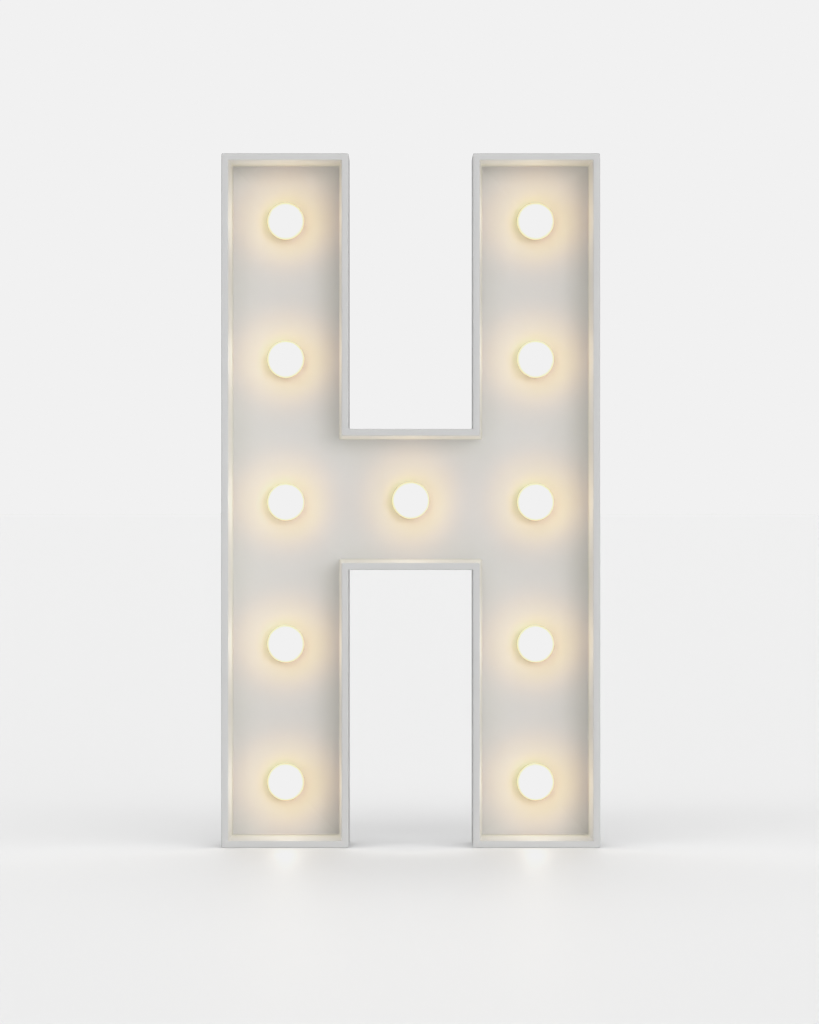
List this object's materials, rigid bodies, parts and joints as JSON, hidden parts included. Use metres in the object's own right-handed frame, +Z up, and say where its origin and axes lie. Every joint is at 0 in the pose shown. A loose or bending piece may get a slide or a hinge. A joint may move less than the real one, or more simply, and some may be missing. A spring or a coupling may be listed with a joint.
{
  "type": "light-up letter",
  "caption": "Free-standing or wall-hung light-up capital letter H: a white tray with glowing globe bulbs on its recessed panel, battery bay and slide switch on the back.",
  "frame": {"origin": "middle of the letter's foot: x and y at the middle of its width and depth, z at the surface it stands on", "axes": "+Z up along the stems; the lit front faces -Y and the battery door is on +Y; +X runs across the letter, to the right as seen from the front"},
  "size_m": [0.12, 0.045, 0.22],
  "materials": {
    "shell_white": "satin moulded pale grey-white",
    "cover_white": "fine spark-eroded texture, pale grey-white",
    "frosted_globe": "frosted, translucent, lit from inside",
    "led_epoxy": "clear warm epoxy",
    "lamp_board": "white solder mask",
    "wire_red": "vinyl insulation",
    "wire_black": "vinyl insulation",
    "resistor_body": "lacquered, plain bands left off",
    "cell_wrap": "plain foil wrap, no print",
    "contact_plate": "nickel plated",
    "switch_can": "tinned sheet",
    "terminal_brass": "tinned brass",
    "knob_black": "black moulded",
    "steel_screw": "zinc plated"
  },
  "bodies": {
    "letter": {"front_shell": "shell_white", "back_cover": "cover_white", "cover_screws": "steel_screw", "globe_l1": "frosted_globe", "globe_l2": "frosted_globe", "globe_l3": "frosted_globe", "globe_l4": "frosted_globe", "globe_l5": "frosted_globe", "globe_c": "frosted_globe", "globe_r1": "frosted_globe", "globe_r2": "frosted_globe", "globe_r3": "frosted_globe", "globe_r4": "frosted_globe", "globe_r5": "frosted_globe", "led_l1": "led_epoxy", "led_l2": "led_epoxy", "led_l3": "led_epoxy", "led_l4": "led_epoxy", "led_l5": "led_epoxy", "led_c": "led_epoxy", "led_r1": "led_epoxy", "led_r2": "led_epoxy", "led_r3": "led_epoxy", "led_r4": "led_epoxy", "led_r5": "led_epoxy", "board_l1": "lamp_board", "board_l2": "lamp_board", "board_l3": "lamp_board", "board_l4": "lamp_board", "board_l5": "lamp_board", "board_c": "lamp_board", "board_r1": "lamp_board", "board_r2": "lamp_board", "board_r3": "lamp_board", "board_r4": "lamp_board", "board_r5": "lamp_board", "red_jumpers": "wire_red", "black_jumpers": "wire_black", "battery_lead_red": "wire_red", "battery_lead_black": "wire_black", "switch_lead": "wire_red", "series_resistor": "resistor_body", "cell_upper": "cell_wrap", "cell_lower": "cell_wrap", "contact_plus": "contact_plate", "contact_minus": "contact_plate", "contact_bridge": "contact_plate", "contact_springs": "contact_plate", "switch_body": "switch_can", "switch_terminals": "terminal_brass", "switch_screws": "steel_screw"},
    "door": {"battery_door": "cover_white", "door_screw": "steel_screw"},
    "knob": {"switch_knob": "knob_black"}
  },
  "joints": [
    {"name": "door_swing", "type": "hinge", "parent": "letter", "child": "door", "pos_m": [-0.02712, 0.0225, 0.11], "axis": [0, 0, 1], "range_deg": [0, 70]},
    {"name": "knob_slide", "type": "slide", "parent": "letter", "child": "knob", "axis": [0, 0, -1], "range_m": [0, 0.003]}
  ]
}
